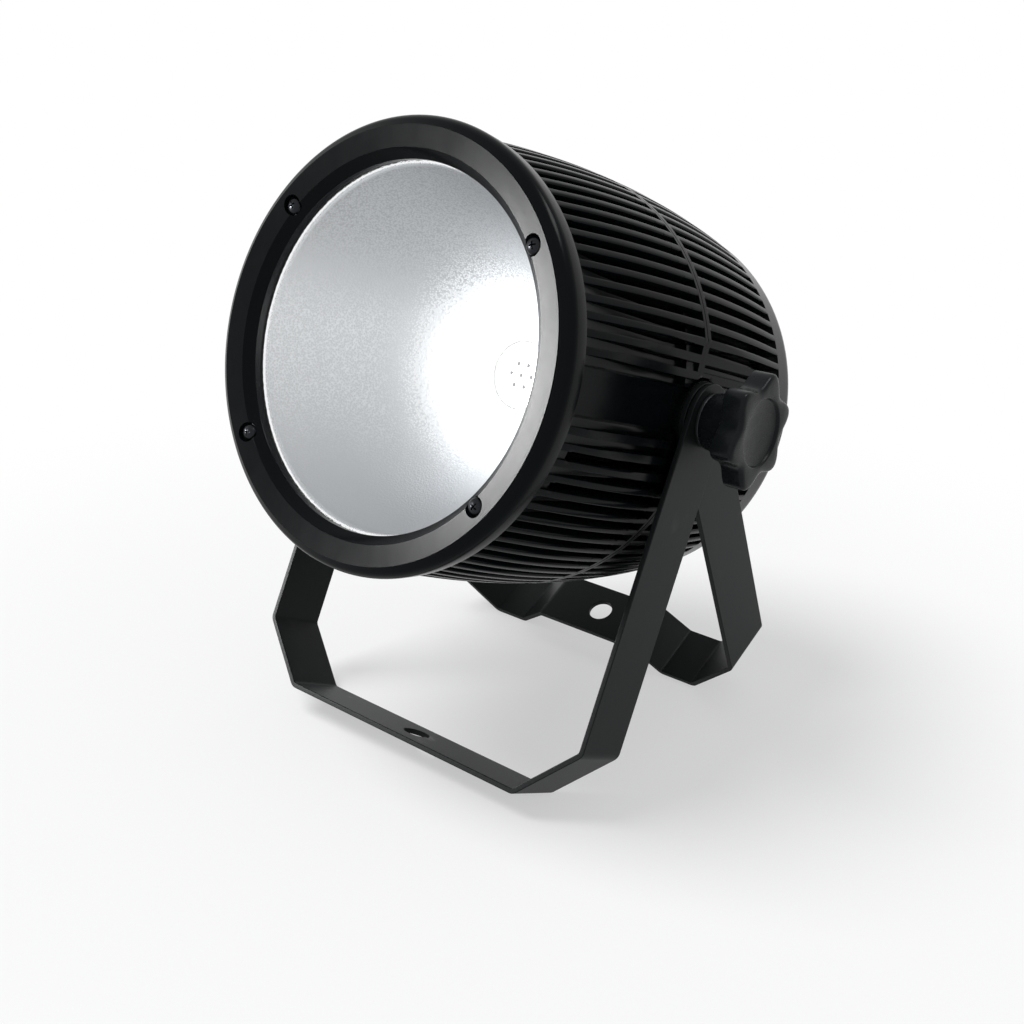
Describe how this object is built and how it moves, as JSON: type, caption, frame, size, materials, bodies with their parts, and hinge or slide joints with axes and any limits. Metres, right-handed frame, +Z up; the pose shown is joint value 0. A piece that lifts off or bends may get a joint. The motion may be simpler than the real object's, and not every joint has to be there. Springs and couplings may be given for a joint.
{
  "type": "par can light",
  "caption": "Ribbed round stage light with a deep peened reflector, tilting between two steel strap yokes that spread into a floor stand or fold together under a hanging clamp.",
  "frame": {"origin": "on the floor, centred under the whole light's box", "axes": "+Z up; the beam leaves toward -Y, raised 17.75 degrees at rest; the yokes' pivot axis runs along X"},
  "size_m": [0.2494, 0.2581, 0.2925],
  "materials": {
    "shell_plastic": "black moulded plastic with a fine grain",
    "yoke_paint": "black powder coat on strap steel",
    "knob_plastic": "black nylon with a low sheen",
    "reflector_aluminium": "peened and anodised",
    "sink_aluminium": "dark cast aluminium",
    "zinc_steel": "zinc plated",
    "black_screw": "black oxide",
    "brass": "turned brass",
    "nylon": "natural nylon",
    "seal_rubber": "silicone seal",
    "ceramic": "white ceramic",
    "phosphor": "yellow phosphor under clear silicone",
    "circuit_board": "green solder mask",
    "panel_paint": "black powder coat on sheet steel",
    "window_glass": "smoked acrylic window",
    "display_face": "liquid crystal module",
    "key_plastic": "dark grey rubbery keys",
    "inlet_plastic": "blue socket insert",
    "outlet_plastic": "light grey socket insert"
  },
  "bodies": {
    "stand": {"front_yoke": "yoke_paint", "yoke_spacers": "nylon"},
    "rear_leg": {"rear_yoke": "yoke_paint"},
    "head": {"friction_discs": "shell_plastic", "pivot_inserts": "brass", "front_bezel": "shell_plastic", "bezel_screws": "black_screw", "bezel_gasket": "seal_rubber", "reflector": "reflector_aluminium", "front_shell": "shell_plastic", "rear_shell": "shell_plastic", "tie_screws": "black_screw", "cob_board": "ceramic", "cob_emitter": "phosphor", "cob_holder": "nylon", "cob_screws": "zinc_steel", "heat_sink": "sink_aluminium", "fan_frame": "shell_plastic", "fan_screws": "zinc_steel", "driver_board": "circuit_board", "standoffs": "brass", "control_board": "circuit_board", "rear_panel": "panel_paint", "panel_screws": "zinc_steel", "display_window": "window_glass", "display_module": "display_face", "power_in": "inlet_plastic", "power_out": "outlet_plastic", "dmx_in": "shell_plastic", "dmx_out": "shell_plastic", "socket_screws": "zinc_steel", "fuse_holder": "knob_plastic", "safety_eye": "zinc_steel"},
    "washer_r": {"washer_right": "zinc_steel"},
    "washer_l": {"washer_left": "zinc_steel"},
    "knob_r": {"knob_right": "knob_plastic", "stud_right": "zinc_steel"},
    "knob_l": {"knob_left": "knob_plastic", "stud_left": "zinc_steel"},
    "fan": {"fan_rotor": "shell_plastic"},
    "key_menu": {"button_menu": "key_plastic"},
    "key_down": {"button_down": "key_plastic"},
    "key_up": {"button_up": "key_plastic"},
    "key_enter": {"button_enter": "key_plastic"},
    "latch": {"dmx_latch": "zinc_steel"},
    "cap": {"fuse_cap": "knob_plastic"}
  },
  "joints": [
    {"name": "head_tilt", "type": "hinge", "parent": "stand", "child": "head", "pos_m": [0, 0.00242, 0.17014], "axis": [-1, 0, 0], "range_deg": [-50, 128]},
    {"name": "rear_leg_fold", "type": "hinge", "parent": "stand", "child": "rear_leg", "pos_m": [0, 0.00242, 0.17014], "axis": [1, 0, 0], "range_deg": [-39.5, 60]},
    {"name": "washer_r_travel", "type": "slide", "parent": "head", "child": "washer_r", "axis": [1, 0, 0], "range_m": [0, 0.0025]},
    {"name": "knob_r_turn", "type": "hinge", "parent": "washer_r", "child": "knob_r", "pos_m": [0, 0.00242, 0.17014], "axis": [1, 0, 0], "range_deg": [0, 720]},
    {"name": "washer_l_travel", "type": "slide", "parent": "head", "child": "washer_l", "axis": [-1, 0, 0], "range_m": [0, 0.0025]},
    {"name": "knob_l_turn", "type": "hinge", "parent": "washer_l", "child": "knob_l", "pos_m": [0, 0.00242, 0.17014], "axis": [-1, 0, 0], "range_deg": [0, 720]},
    {"name": "fan_spin", "type": "hinge", "parent": "head", "child": "fan", "pos_m": [0, 0.0548, 0.15338], "axis": [0, -0.9524, 0.3049], "continuous": true},
    {"name": "key_menu_press", "type": "slide", "parent": "head", "child": "key_menu", "axis": [0, -0.9524, 0.3049], "range_m": [0, 0.0008], "stiffness_N_per_m": 500},
    {"name": "key_down_press", "type": "slide", "parent": "head", "child": "key_down", "axis": [0, -0.9524, 0.3049], "range_m": [0, 0.0008], "stiffness_N_per_m": 500},
    {"name": "key_up_press", "type": "slide", "parent": "head", "child": "key_up", "axis": [0, -0.9524, 0.3049], "range_m": [0, 0.0008], "stiffness_N_per_m": 500},
    {"name": "key_enter_press", "type": "slide", "parent": "head", "child": "key_enter", "axis": [0, -0.9524, 0.3049], "range_m": [0, 0.0008], "stiffness_N_per_m": 500},
    {"name": "latch_press", "type": "slide", "parent": "head", "child": "latch", "axis": [0, -0.9524, 0.3049], "range_m": [0, 0.0015], "stiffness_N_per_m": 500},
    {"name": "fuse_cap_turn", "type": "hinge", "parent": "head", "child": "cap", "pos_m": [0, 0.1012, 0.13432], "axis": [0, 0.9524, -0.3049], "range_deg": [0, 90]}
  ],
  "couplings": [
    {"joint": "knob_r_turn", "follows": "washer_r_travel", "rad_per_m": 5026.5},
    {"joint": "knob_l_turn", "follows": "washer_l_travel", "rad_per_m": 5026.5}
  ]
}
